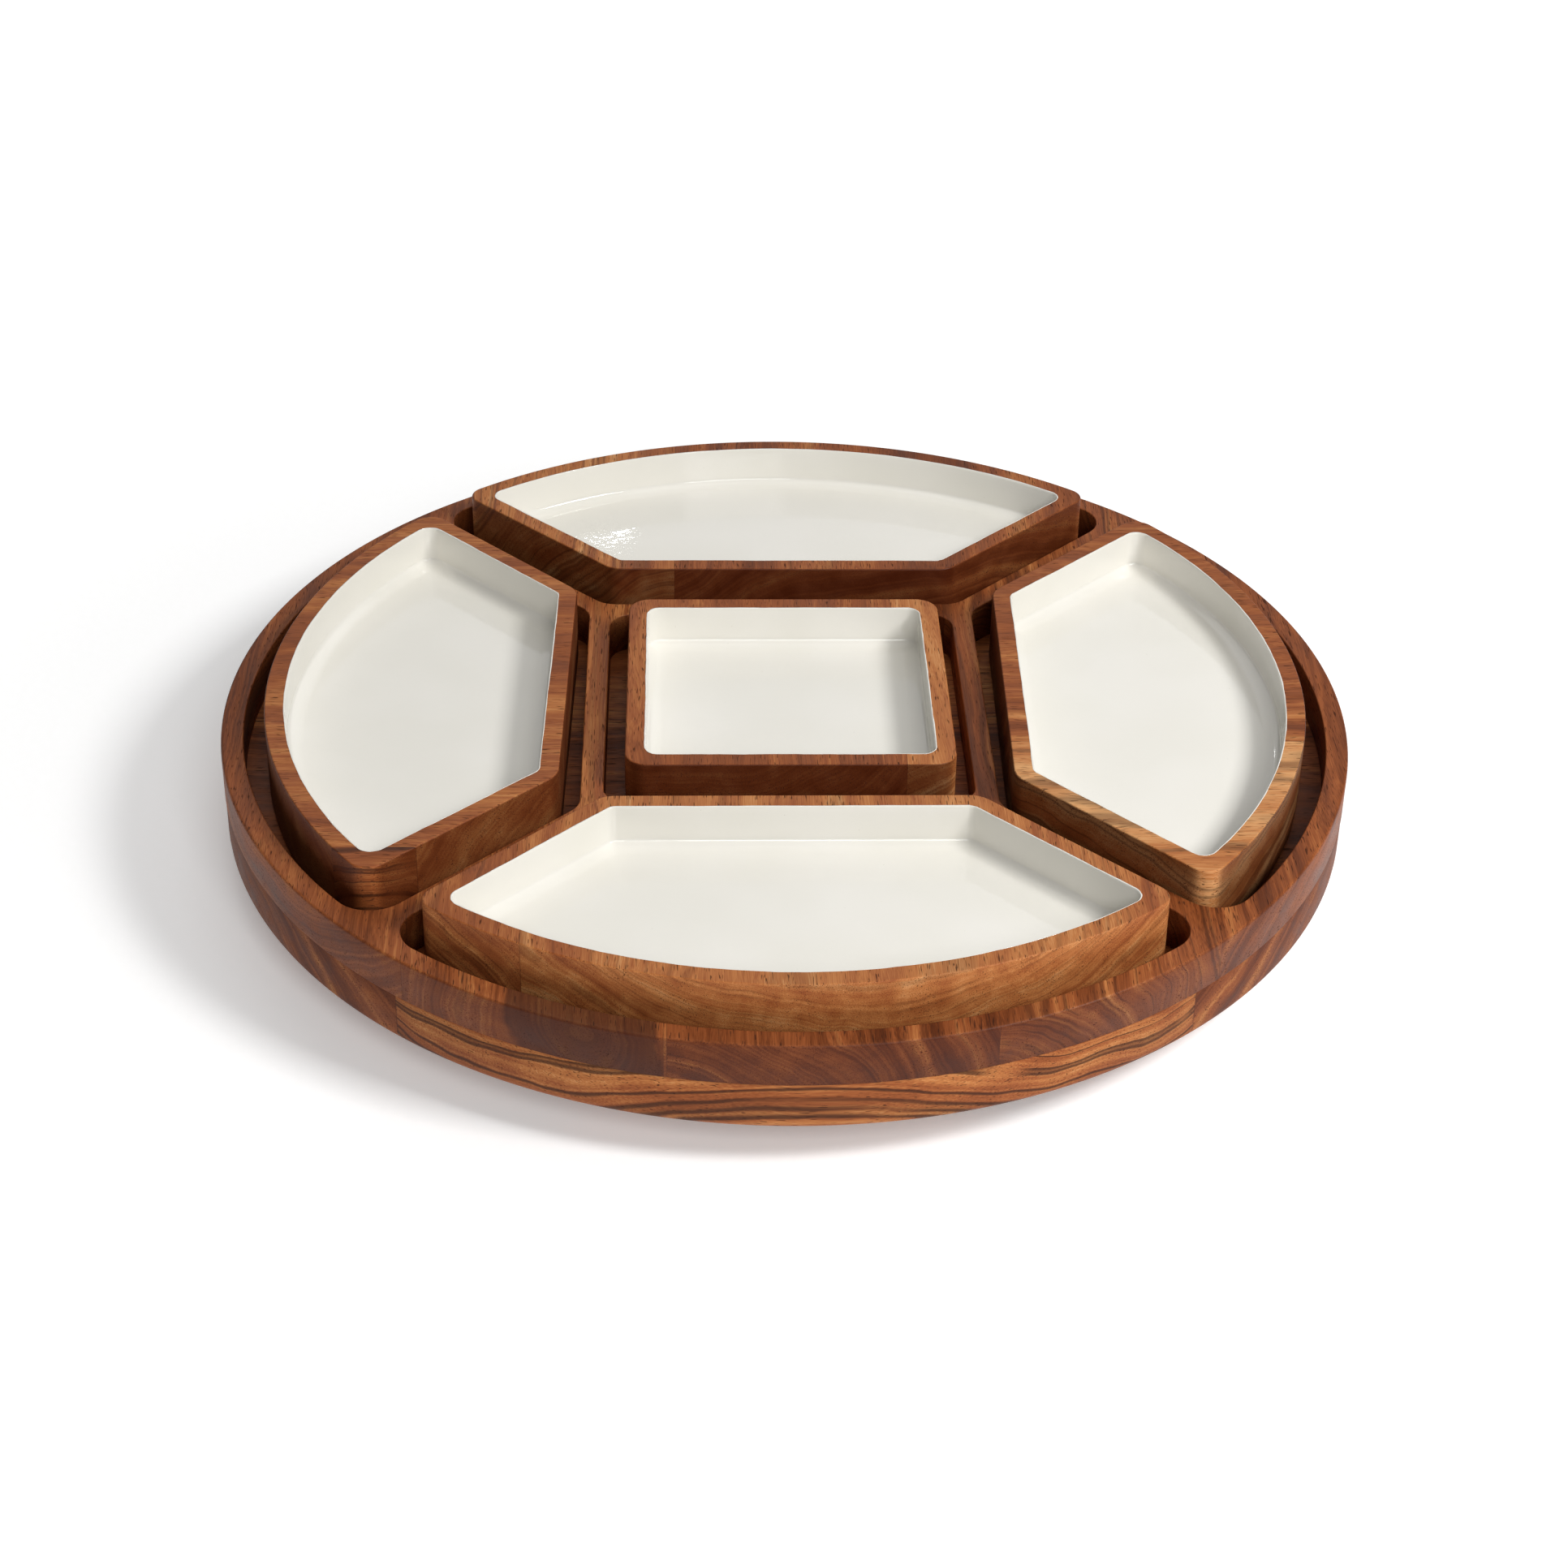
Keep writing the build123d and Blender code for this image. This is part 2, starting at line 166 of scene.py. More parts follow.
def segment_outline(inner, side, radius, corner, tip):
    """Quarter segment towards +X.

    Its straight inner edge is at x = inner, its sides lie side away from the diagonals,
    and its outer arc has the given radius. A corner's centre is its radius away from both
    edges that it joins; a tip's centre is on the circle of radius minus tip.
    """
    root2 = math.sqrt(2)
    corner_x = inner + corner
    corner_y = corner_x - root2 * (side + corner)
    along = math.sqrt((radius - tip) ** 2 - (side + tip) ** 2)
    tip_x, tip_y = (along + side + tip) / root2, (along - side - tip) / root2
    spread = math.atan2(tip_y, tip_x)
    turn = math.pi * 3 / 4
    runs = [
        arc((corner_x, -corner_y), corner, -math.pi, -turn, CORNER_POINTS),
        arc((tip_x, -tip_y), tip, -turn, -spread, CORNER_POINTS),
        arc((0, 0), radius, -spread, spread, ARC_POINTS)[1:-1],
        arc((tip_x, tip_y), tip, spread, turn, CORNER_POINTS),
        arc((corner_x, corner_y), corner, turn, math.pi, CORNER_POINTS),
    ]
    return joined(runs, (SIDE_POINTS, 0, 0, SIDE_POINTS, SIDE_POINTS))


# The four corners of the square bowl; the corners and the tips of an outer one.
BOWL_CORNERS = {"center": (9.0,), "outer": (11.0, 8.0)}


def kind_of(name):
    """Which of the two outlines a bowl has."""
    return "center" if name == "center" else "outer"


def bowl_outline(name, grow, corners):
    """A bowl's outline moved outwards by grow, where it stands in the tray."""
    if name == "center":
        points = square_outline(CENTER_BOWL_HALF + grow, corners[0])
        middle, angle = 0, 0
    else:
        inner = CENTER_BOWL_HALF + 2 * FINGER_GAP + RIDGE
        side = RIDGE / 2 + FINGER_GAP
        arc_radius = POCKET_ARC - FINGER_GAP
        points = segment_outline(inner - grow, side - grow, arc_radius + grow, *corners)
        middle, angle = BOWL_MIDDLE, OUTER_BOWLS[name]
    shift_x, shift_y, turn = SETTLED[name]
    points = turned(points - (middle, 0), turn) + (middle, 0)
    return turned(points, angle) + (shift_x, shift_y)


for bowl in ("center", "right"):
    outline = bowl_outline(bowl, 0, BOWL_CORNERS[kind_of(bowl)])
    print(bowl, "bowl:", len(outline), "points, millimetres across", np.ptp(outline, 0).round(1))

# %% [markdown]
# ## From rings to a mesh
#
# A bowl is a stack of rings: up the outside, over the rim, down the inside. The same
# order of points in every ring means that four neighbours always make one face. The two
# ends close on a point in the middle. Flat faces are shaded flat and curved ones smooth,
# which keeps a sanded edge crisp where it meets a level face.

# %% Rings and faces
def ring(outline, z):
    """An outline lifted to the height z."""
    return np.c_[outline, np.full(len(outline), z)]


def stacked_faces(count, size, first=0):
    """Four-sided faces between count rings of size points, numbered from first."""
    k, i = np.meshgrid(np.arange(count - 1), np.arange(size), indexing="ij")
    low, following = first + k * size + i, first + k * size + (i + 1) % size
    return np.stack([low, following, following + size, low + size], -1).reshape(-1, 4)


def closing_fan(ring_start, size, middle, upwards):
    """Triangles from a ring to the point middle, facing up or down."""
    i = np.arange(size)
    here, following = ring_start + i, ring_start + (i + 1) % size
    pair = (here, following) if upwards else (following, here)
    return np.stack([*pair, np.full(size, middle)], -1)


def closed_stack(rings, flat_after=()):
    """Points, faces and flags of a stack of rings closed at both ends.

    flat_after names the ring numbers after which a band is level, and so shaded flat.
    """
    count, size = len(rings), len(rings[0])
    points = np.vstack([*rings, rings[0].mean(0), rings[-1].mean(0)])
    bands = stacked_faces(count, size).reshape(count - 1, size, 4)
    faces = [*bands, closing_fan(0, size, count * size, False)]
    faces.append(closing_fan((count - 1) * size, size, count * size + 1, True))
    smooth = [k not in flat_after for k in range(count - 1)] + [False, False]
    return points, faces, smooth


print("two rings of", len(outline), "points make", len(stacked_faces(2, len(outline))), "faces")


# %% A piece from arrays
def build(name, points, faces, smooth, body, replaced, slot):
    """Mesh piece from arrays: points in millimetres, lists of face arrays, smooth flags."""
    mesh = bpy.data.meshes.new(name)
    rows = [row for part in faces for row in part.tolist()]
    mesh.from_pydata((points * MM).tolist(), [], rows)
    flags = np.concatenate([np.full(len(part), flag) for part, flag in zip(faces, smooth)])
    mesh.polygons.foreach_set("use_smooth", flags)
    mesh.update()
    piece = bpy.data.objects.new(name, mesh)
    bpy.context.scene.collection.objects.link(piece)
    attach(piece, body)
    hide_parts(*replaced)
    report_fit(piece, replaced)
    return piece


def report_fit(piece, replaced):
    """Prints how far a piece's box lies from the box of the CAD nodes it stands for."""
    lows, highs = zip(*(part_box(node) for node in replaced))
    corners = np.array([v.co for v in piece.data.vertices])
    low = corners.min(0) - np.min(lows, 0)
    high = corners.max(0) - np.max(highs, 0)
    off = max(abs(low).max(), abs(high).max()) / MM
    print(f"{piece.name}: {len(piece.data.polygons)} faces, box within {off:.2f} mm of the CAD")


print("pieces are worked out in millimetres and stored in metres, so points are times", MM)

# %% [markdown]
# ## Bowls
#
# A maker saws the blank from edge-glued acacia, routs the hollow with a round-nosed bit,
# sprays the enamel and then sands the rim level. So the wood has a small soft edge
# outside, the wall ends in a crease and a shallow curve, and the line between enamel and
# wood wanders by a few tenths of a millimetre. A Bevel modifier could soften the edges,
# but it can't make that line wander. So one profile is carried round the outline for the
# wood, and another for the enamel coat.

# %% Profiles of edges and floor
LINING_CORNERS = {"center": (6.0,), "outer": (5.5, 6.5)}
SMALLEST_CORNER = 3.5
FLOOR_CURVE = 10.0
FLOOR_CURVE_WIDTH = 6.5
CURVE_RINGS = 10


def inset_corners(corners, inset):
    """Corner radii of an outline inside another, never sharper than a spray can coat."""
    return tuple(max(radius - inset, min(radius, SMALLEST_CORNER)) for radius in corners)


def quarter_turn(radius, count):
    """Pairs (inset, rise) along a quarter circle, from the wall to the level face."""
    t = np.linspace(0, math.pi / 2, count)
    return np.c_[radius * (1 - np.cos(t)), radius * np.sin(t)]


def floor_curve(extra):
    """Pairs (inset, height) from the crease at the wall down to the floor.

    The round-nosed bit leaves part of a circle, height = radius - sqrt(radius^2 - left^2),
    where left is the distance still to go to the level floor.
    """
    radius = FLOOR_CURVE + extra
    inset = np.linspace(0, FLOOR_CURVE_WIDTH + extra, CURVE_RINGS)
    left = FLOOR_CURVE_WIDTH + extra - inset
    return np.c_[inset, radius - np.sqrt(radius**2 - left**2)]


print(f"the crease in the enamel is {floor_curve(0)[0][1]:.1f} mm above the floor")

# %% The outside of a bowl
RIM_EASE = 0.7
FOOT_ROUND = 2.0
EASE_RINGS = 6
WALL_RINGS = 5


def outside_rings(name):
    """Rings from the foot's rounded edge up the outer wall to the level rim."""
    corners = BOWL_CORNERS[kind_of(name)]

    def at(inset, z):
        return ring(bowl_outline(name, -inset, inset_corners(corners, inset)), z)

    foot_top, wall_top = POCKET_FLOOR + FOOT_ROUND, RIM_TOP - RIM_EASE
    foot = quarter_turn(FOOT_ROUND, EASE_RINGS)[::-1]
    rings = [at(inset, foot_top - rise) for inset, rise in foot]
    rings += [at(0, z) for z in np.linspace(foot_top, wall_top, WALL_RINGS)[1:]]
    rings += [at(inset, wall_top + rise) for inset, rise in quarter_turn(RIM_EASE, EASE_RINGS)[1:]]
    return rings


print(len(outside_rings("center")), "rings up the outside of a bowl")

# %% The line between enamel and wood
# How far the line wanders, and in how many waves to one turn of the rim.
EDGE_WANDER, WANDER_WAVES = 0.32, (2, 5, 9, 14, 23)
EDGE_TOOTH, TOOTH_WAVES = 0.12, (41, 57, 76)
# The rim is ground after spraying, which leaves less than the full coat to be seen there.
EDGE_GROUND_OFF = 0.27
FIRST_SEED, TOOTH_SEED = 11, 50


def ripple(count, amplitude, waves, seed):
    """Closed wavy line: a sum of sines with whole numbers of waves and seeded phases."""
    chance = np.random.default_rng(seed)
    t = np.arange(count) / count * 2 * math.pi
    phase = chance.uniform(0, 2 * math.pi, (len(waves), 1))
    share = chance.uniform(0.5, 1, (len(waves), 1)) / len(waves)
    return amplitude * (share * np.sin(np.array(waves)[:, None] * t + phase)).sum(0)


def rim_edge(name, seed):
    """How far the line between enamel and wood wanders, for each point of the rim."""
    size = len(bowl_outline(name, 0, BOWL_CORNERS[kind_of(name)]))
    slow = ripple(size, EDGE_WANDER, WANDER_WAVES, seed)
    return slow + ripple(size, EDGE_TOOTH, TOOTH_WAVES, seed + TOOTH_SEED) - EDGE_GROUND_OFF


def outward_of(outline):
    """Unit normals of a closed outline that runs anticlockwise."""
    along = np.roll(outline, -1, 0) - np.roll(outline, 1, 0)
    normal = np.c_[along[:, 1], -along[:, 0]]
    return normal / np.linalg.norm(normal, axis=1, keepdims=True)


print(f"about {ENAMEL - EDGE_GROUND_OFF:.2f} mm of enamel shows on the rim")

# %% The hollow of a bowl
# Depths below the rim: the first ring, and the one where the wander has died out.
RIM_BAND, WANDER_DEPTH = 1.0, 4.0
# A ring just above the crease keeps the shading of the wall straight down to it.
CREASE_HOLD = 0.7


def hollow_rings(name, extra, edge):
    """Rings down the inside of a bowl, extra outside the enamel's own surface.

    edge holds each point's wander at the rim. The wall falls straight to a crease, and a
    shallow curve carries it into the floor.
    """
    corners = LINING_CORNERS[kind_of(name)]
    wall = -BOWL_WALL - ENAMEL + extra
    floor = RIM_TOP - BOWL_DEPTH - extra
    curve = floor_curve(extra)
    crease = RIM_TOP - floor - curve[0][1]
    top = bowl_outline(name, wall, inset_corners(corners, ENAMEL - extra))
    outward = outward_of(top)
    rings = [ring(top + outward * edge[:, None], RIM_TOP)]
    for depth in (RIM_BAND, WANDER_DEPTH, crease - CREASE_HOLD, crease):
        fade = max(0.0, 1 - depth / WANDER_DEPTH)
        rings.append(ring(top + outward * (edge * fade)[:, None], RIM_TOP - depth))
    for inset, height_left in curve[1:]:
        inner = inset_corners(corners, ENAMEL - extra + inset)
        rings.append(ring(bowl_outline(name, wall - inset, inner), floor + height_left))
    return rings


print(len(hollow_rings("right", 0.0, np.zeros(len(outline)))), "rings down the inside of a bowl")

# %% Make the bowls
# The coat's edge on the rim is rounded off: share of the way inwards, and drop.
LIP = ((0.6, 0.0), (0.85, 0.12))


def wooden_bowl(name, seed):
    """Closed skin: up the outside, across the level rim, down the hollow."""
    outside = outside_rings(name)
    rings = outside + hollow_rings(name, ENAMEL, rim_edge(name, seed))
    data = closed_stack(rings, flat_after=(len(outside) - 1,))
    return build(f"{name}_bowl_wood", *data, f"{name}_dish", [f"{name}_bowl"], "bowl_wood")


def enamel_coat(name, seed):
    """Closed skin: up the side that sticks to the wood, over its edge, down the inside."""
    edge = rim_edge(name, seed)
    stuck = hollow_rings(name, ENAMEL, edge)[::-1]
    open_side = hollow_rings(name, 0.0, np.zeros(len(edge)))
    lip = [ring_between(stuck[-1], inner, *place) for inner, place in zip(open_side, LIP)]
    data = closed_stack(stuck + lip + open_side[1:])
    return build(f"{name}_enamel", *data, f"{name}_dish", [f"{name}_lining"], "enamel")


def ring_between(first, second, share, drop):
    """A ring part of the way from one to another, at the first one's height less drop."""
    mixed = first + (second - first) * share
    mixed[:, 2] = first[:, 2] - drop
    return mixed


bowl_names = ["center", *OUTER_BOWLS]
wood_pieces, enamel_pieces = {}, {}
for number, bowl in enumerate(bowl_names):
    wood_pieces[bowl] = wooden_bowl(bowl, FIRST_SEED + number)
    enamel_pieces[bowl] = enamel_coat(bowl, FIRST_SEED + number)

# %% [markdown]
# ## Tray boards
#
# The tray is two glued-up boards laid crosswise, so that each holds the other flat. The
# upper one has five pockets sawn through it, and the lower one closes them. A Boolean
# modifier could saw the pockets, but the sawn edges would be hard to soften evenly. So
# each wall is a stack of rings, and only the two level faces are triangulated between the
# rings' edges. All pockets are convex, so a triangle with three corners on one pocket's
# edge covers the hole and is dropped.

# %% Outlines and walls of the tray
TRAY_TOP_EASE = 1.2
TRAY_BOTTOM_ROUND = 3.4
POCKET_EASE = 0.6
SEAM_EASE = 0.15
ROUND_POINTS = 720
POCKET_RINGS, BOTTOM_RINGS = 5, 9
POCKET_CORNERS = {"center": (10.0,), "outer": (12.0, 15.0)}


def pocket_outline(name, grow):
    """A pocket's outline, moved outwards by grow. Pockets aren't shifted as bowls are."""
    corners = tuple(radius + grow for radius in POCKET_CORNERS[kind_of(name)])
    if name == "center":
        return square_outline(CENTER_BOWL_HALF + FINGER_GAP + grow, corners[0])
    inner = CENTER_BOWL_HALF + FINGER_GAP + RIDGE
    points = segment_outline(inner - grow, RIDGE / 2 - grow, POCKET_ARC + grow, *corners)
    return turned(points, OUTER_BOWLS[name])


def circle(radius):
    """Closed circle of ROUND_POINTS points."""
    return arc((0, 0), radius, 0, 2 * math.pi, ROUND_POINTS + 1)[:-1]


def rim_wall():
    """Rings up the tray's outside: from the glue line over the softened top edge."""
    wall_top = TRAY_TOP - TRAY_TOP_EASE
    eased = quarter_turn(TRAY_TOP_EASE, EASE_RINGS)
    rings = [ring(circle(TRAY_RADIUS - SEAM_EASE), POCKET_FLOOR)]
    rings += [ring(circle(TRAY_RADIUS), z) for z in (POCKET_FLOOR + SEAM_EASE, wall_top)]
    rings += [ring(circle(TRAY_RADIUS - inset), wall_top + rise) for inset, rise in eased[1:]]
    return rings


def pocket_wall(name):
    """Rings down a pocket's wall: from its softened top edge to the glue line."""
    wall_top = TRAY_TOP - POCKET_EASE
    eased = quarter_turn(POCKET_EASE, POCKET_RINGS)[::-1]
    rings = [ring(pocket_outline(name, grow), wall_top + rise) for grow, rise in eased]
    rings.append(ring(pocket_outline(name, 0), POCKET_FLOOR))
    return rings


print(len(rim_wall()), "rings up the rim,", len(pocket_wall("center")), "down each pocket")

# %% Level faces with holes
# Two corners of the outlines closer than this would count as one.
SAME_POINT = 1e-7


def plate_with_holes(outer, holes):
    """Triangles of a level face between an outer loop and convex hole loops."""
    loops = [outer, *holes]
    starts = np.cumsum([0] + [len(loop) for loop in loops])
    points = [Vector(p) for p in np.vstack([loop[:, :2] for loop in loops])]
    edges = [
        (start + i, start + (i + 1) % len(loop))
        for start, loop in zip(starts, loops)
        for i in range(len(loop))
    ]
    _, _, triangles, sources, _, _ = delaunay_2d_cdt(points, edges, [], 0, SAME_POINT)
    original = np.array([source[0] for source in sources])
    owner = np.searchsorted(starts, original, side="right") - 1
    corners = np.array(triangles)
    same = (owner[corners] == owner[corners][:, :1]).all(1) & (owner[corners][:, 0] > 0)
    kept = original[corners[~same]]
    a, b, c = (np.array(points)[kept[:, k]] for k in range(3))
    turn = (b - a)[:, 0] * (c - a)[:, 1] - (b - a)[:, 1] * (c - a)[:, 0]
    kept[turn < 0] = kept[turn < 0][:, ::-1]
    return kept, starts


def level_face(walls, firsts, upwards):
    """The board's top or underside, with its corners numbered as in the walls' stacks.

    The rim's last ring is its highest one, and a pocket's last ring is its lowest.
    """
    levels = [len(wall) - 1 if (k == 0) == upwards else 0 for k, wall in enumerate(walls)]
    loops = [wall[level] for wall, level in zip(walls, levels)]
    offsets = [first + level * len(loop) for first, level, loop in zip(firsts, levels, loops)]
    triangles, starts = plate_with_holes(loops[0], loops[1:])
    owner = np.searchsorted(starts, triangles, side="right") - 1
    numbered = triangles - starts[owner] + np.array(offsets)[owner]
    return numbered if upwards else numbered[:, ::-1]


print("the top and the underside have", len(bowl_names), "holes each")


# %% Make the boards
def upper_board():
    """Wall stacks for the rim and the pockets, joined by two level faces."""
    walls = [rim_wall(), *map(pocket_wall, bowl_names)]
    firsts = np.cumsum([0] + [len(wall) * len(wall[0]) for wall in walls])[:-1]
    faces = [stacked_faces(len(wall), len(wall[0]), first) for wall, first in zip(walls, firsts)]
    faces += [level_face(walls, firsts, upwards) for upwards in (True, False)]
    smooth = [True] * len(walls) + [False, False]
    points = np.vstack([row for wall in walls for row in wall])
    replaced = ["tray_upper_board"]
    return build("tray_upper_board_wood", points, faces, smooth, "tray", replaced, "tray_wood")


def lower_board():
    """A profile turned round the spin axis: rounded below, barely eased at the glue line."""
    foot_top = TRAY_BOTTOM + TRAY_BOTTOM_ROUND
    foot = quarter_turn(TRAY_BOTTOM_ROUND, BOTTOM_RINGS)[::-1]
    rings = [ring(circle(LOWER_RADIUS - inset), foot_top - rise) for inset, rise in foot]
    rings.append(ring(circle(LOWER_RADIUS), POCKET_FLOOR - SEAM_EASE))
    rings.append(ring(circle(LOWER_RADIUS - SEAM_EASE), POCKET_FLOOR))
    data = closed_stack(rings)
    return build("tray_lower_board_wood", *data, "tray", ["tray_lower_board"], "tray_wood")


upper, lower = upper_board(), lower_board()

# %% [markdown]
# ## Colours and nodes
#
# Colours are written as the hex values a painter's chart would give, and turned to linear
# light once. One function adds any node: its sockets take a number, a colour or another
# node's output, and it hands back the output that the next node needs. A new material
# comes with that function already bound to it, and here it is called put.

# %% Colour and node helpers
def color(code):
    """Linear colour of an sRGB hex code such as #7d4529."""
    shares = [int(code[i : i + 2], 16) / 255 for i in (1, 3, 5)]
    return (*[c / 12.92 if c <= 0.04045 else ((c + 0.055) / 1.055) ** 2.4 for c in shares], 1.0)


def add(tree, kind, inputs=(), out=0, stops=(), **settings):
    """Adds a node with its settings, colour stops and inputs, and returns one output."""
    made = tree.nodes.new("ShaderNode" + kind)
    for setting, value in settings.items():
        setattr(made, setting, value)
    for number, (place, shade) in enumerate(stops):
        ramp = made.color_ramp.elements
        stop = ramp[number] if number < 2 else ramp.new(place)
        stop.position, stop.color = place, shade
    for key, value in dict(inputs).items():
        if isinstance(value, bpy.types.NodeSocket):
            tree.links.new(value, made.inputs[key])
        else:
            made.inputs[key].default_value = value
    return made.outputs[out] if len(made.outputs) else made


def new_material(name):
    """Empty node material, and the function that adds a node to it."""
    material = bpy.data.materials.new(name)
    material.use_nodes = True
    material.node_tree.nodes.clear()
    return material, partial(add, material.node_tree)


# Socket numbers of a Mix node's factor, its two vectors and its two colours.
FACTOR, VECTOR_A, VECTOR_B, COLOR_A, COLOR_B = 0, 4, 5, 6, 7
# A Map Range node takes value, low, high, new low and new high, here along an S curve.
SMOOTH = {"interpolation_type": "SMOOTHSTEP"}
# Most of a noise's values lie between these two.
NOISE_LOW, NOISE_HIGH = 0.3, 0.7
print("red-brown in linear light:", [round(c, 3) for c in color("#7d4529")[:3]])

# %% [markdown]
# ## Acacia
#
# Every board is edge-glued from staves, and each stave is sawn from another part of a log.
# A picture of wood could be wrapped round each piece, but its grain would break at every
# edge. So the wood is a solid pattern: growth rings are cylinders round a pith line, and
# each stave has its own pith. Where the tray's round edge cuts across a stave, the rings
# show as arcs; where it runs along one, they show as long streaks. This needs no texture
# coordinates and stays right on every face, even inside the pockets.
#
# Growth rings of acacia are 1 to 10 mm wide, its black streaks about 1 mm, and its pores
# 0.2 mm wide and a few long. The pores are drawn 0.4 mm wide, because finer ones would
# not show.

# %% Staves
# For each board: the axis that its staves run along, and its staves in order. A stave has
# the place of its far joint, its pith (across, up), its tone from 0 dark to 1 pale, the
# radius of its dark heart, and how strong its black streaks are. Millimetres.
LAST = 999.0
STAVES = {
    "tray_upper": ("y", [
        (-143.6, (-190, 95), 0.43, 0, 0.3),
        (-48.6, (-79, 50), 0.50, 31, 0.3),
        (-47.4, (-60, 90), 0.56, 0, 0.0),
        (70.2, (-60, -20), 0.38, 0, 0.35),
        (156.0, (62, 5), 0.48, 0, 0.6),
        (LAST, (250, -30), 0.38, 0, 0.2),
    ]),
    "tray_lower": ("x", [
        (-175.0, (-190, 70), 0.61, 0, 1.0),
        (9.0, (-60, -60), 0.42, 0, 0.25),
        (112.0, (90, 110), 0.60, 0, 0.5),
        (LAST, (150, -20), 0.44, 0, 0.6),
    ]),
    "center": ("y", [(45.7, (-40, 140), 0.48, 0, 0.1), (LAST, (90, 0), 0.70, 0, 0.3)]),
    "back": ("y", [(-45.6, (-40, 20), 0.66, 0, 0.5), (LAST, (60, -60), 0.44, 0, 0.3)]),
    "left": ("x", [(-124.6, (-150, 30), 0.48, 0, 0.9), (LAST, (30, -80), 0.58, 0, 0.15)]),
    "right": ("x", [(-52.0, (-90, -70), 0.80, 0, 0.6), (LAST, (60, 150), 0.50, 0, 0.2)]),
    "front": ("y", [(-100.0, (-150, 0), 0.54, 0, 0.4), (LAST, (20, 240), 0.66, 0, 0.3)]),
    "base": ("x", [
        (-38.0, (-70, 60), 0.50, 0, 0.4),
        (55.0, (10, -60), 0.42, 0, 0.3),
        (LAST, (90, 50), 0.56, 0, 0.4),
    ]),
}
# How strongly a board's rings show, and by what share its end grain is darker. End grain
# drinks more oil, and this darkening is deepened as painted shade for the faces that stand
# in the gaps between bowls and pockets. The front bowl is pale all over and its outer faces
# stand open to the light, so its end grain is left as it is.
BOARD_LOOKS = {
    **{bowl: (0.7, 0.72) for bowl in bowl_names},
    "front": (0.7, 0.0),
    "tray_upper": (0.9, 0.5),
    "tray_lower": (0.9, 0.4),
    "base": (1.0, 0.4),
}
print(sum(len(staves) for _, staves in STAVES.values()), "staves in", len(STAVES), "boards")

# %% From stave to stave
# Half the width of a glue joint, and how far each stave's pattern is shifted along.
GLUE_HALF = 0.13
STAVE_SHIFT = 137.0


def stave_values(put, across, staves):
    """Two vectors that change at each glue joint: (pith, shift, pith) and (tone, heart, streaks)."""
    rows = [
        ((pith[0], STAVE_SHIFT * number, pith[1]), (tone, heart, streaks))
        for number, (_, pith, tone, heart, streaks) in enumerate(staves)
    ]
    place, look = rows[0]
    for (joint, *_), (next_place, next_look) in zip(staves, rows[1:]):
        past = put("Math", {0: across, 1: joint}, operation="GREATER_THAN")
        place = put("Mix", {FACTOR: past, VECTOR_A: place, VECTOR_B: next_place}, out=1, data_type="VECTOR")
        look = put("Mix", {FACTOR: past, VECTOR_A: look, VECTOR_B: next_look}, out=1, data_type="VECTOR")
    return place, look


def glue_lines(put, across, staves):
    """1 on a glue joint, else 0."""
    line = 0.0
    for joint, *_ in staves[:-1]:
        near = put("Math", {0: across, 1: joint, 2: GLUE_HALF}, operation="COMPARE")
        line = put("Math", {0: near, 1: line}, operation="MAXIMUM")
    return line


print("glue joints:", sum(len(staves) - 1 for _, staves in STAVES.values()))

# %% Growth rings and grain
# The pith line wanders, slowly along the log and a little at each knot: millimetres
# across, millimetres along, and how far it goes.
PITH_WANDER = ((75, 300, 26), (16, 60, 4.5))
# Widths of the growth rings, the fine rings in them, and the rings that streaks follow.
BROAD_RING, FINE_RING, STREAK_RING = 9.0, 1.3, 6.0
# Ribbon figure, single fibres, patches of streaks and pores: millimetres across and along.
RIBBON, FIBRE, PATCH, PORE = (9, 55), (0.3, 18), (16, 90), (0.4, 5.5)


def ring_noise(put, rings, width, detail):
    """Bands that follow the growth rings, about width millimetres each."""
    place = put("Math", {0: rings, 1: 1 / width}, operation="MULTIPLY")
    return put("TexNoise", {"W": place, "Detail": detail, "Scale": 1.0}, noise_dimensions="1D")


def grain_noise(put, vector, across, along, detail=1.0, out=0):
    """Blotches of the given size across and along the grain, in millimetres."""
    scale = (1 / across, 1 / along, 1 / across)
    place = put("VectorMath", {0: vector, 1: scale}, operation="MULTIPLY")
    return put("TexNoise", {0: place, "Detail": detail, "Scale": 1.0}, out=out)


def round_the_pith(put, from_pith):
    """The vector from a wandering pith line, and the distance from it."""
    bent = from_pith
    for across, along, reach in PITH_WANDER:
        noise = grain_noise(put, from_pith, across, along, 2.0, out=1)
        offset = put("VectorMath", {0: noise, 1: (0.5,) * 3}, operation="SUBTRACT")
        offset = put("VectorMath", {0: offset, 1: (reach, 0, reach)}, operation="MULTIPLY")
        bent = put("VectorMath", {0: bent, 1: offset}, operation="ADD")
    flat = put("VectorMath", {0: bent, 1: (1, 0, 1)}, operation="MULTIPLY")
    return bent, put("VectorMath", {0: flat}, out=1, operation="LENGTH")


print(f"broad rings {BROAD_RING} mm wide, pores {PORE[0]} by {PORE[1]} mm")

# %% Heart, streaks, pores, and end grain darkened partly as painted shade
# How ragged the dark heart's edge is, its soft edge in millimetres, and how dark it is.
HEART_RAGGED, HEART_EDGE, HEART_SHARE = 9.0, (-6.0, -2.5), 0.72
# Millimetres along the grain where the dark heart is gone, and where it is full.
HEART_FADES = (-120.0, -175.0)
# Distance from the middle of the noise where a streak is full, and where it is gone.
STREAK_EDGE = (0.014, 0.06)
# The noise levels between which a patch of streaks comes up, and what streaks add to it.
PATCH_EDGE, PATCH_LIFT = (0.42, 0.62), 0.25
STREAK_SHARE = 0.8
# The noise level above which a pore opens, how much less it is where rings are pale, and
# how soft a pore's edge is.
PORE_LEVEL, PORE_CROWDING, PORE_EDGE = 0.80, -0.22, 0.07
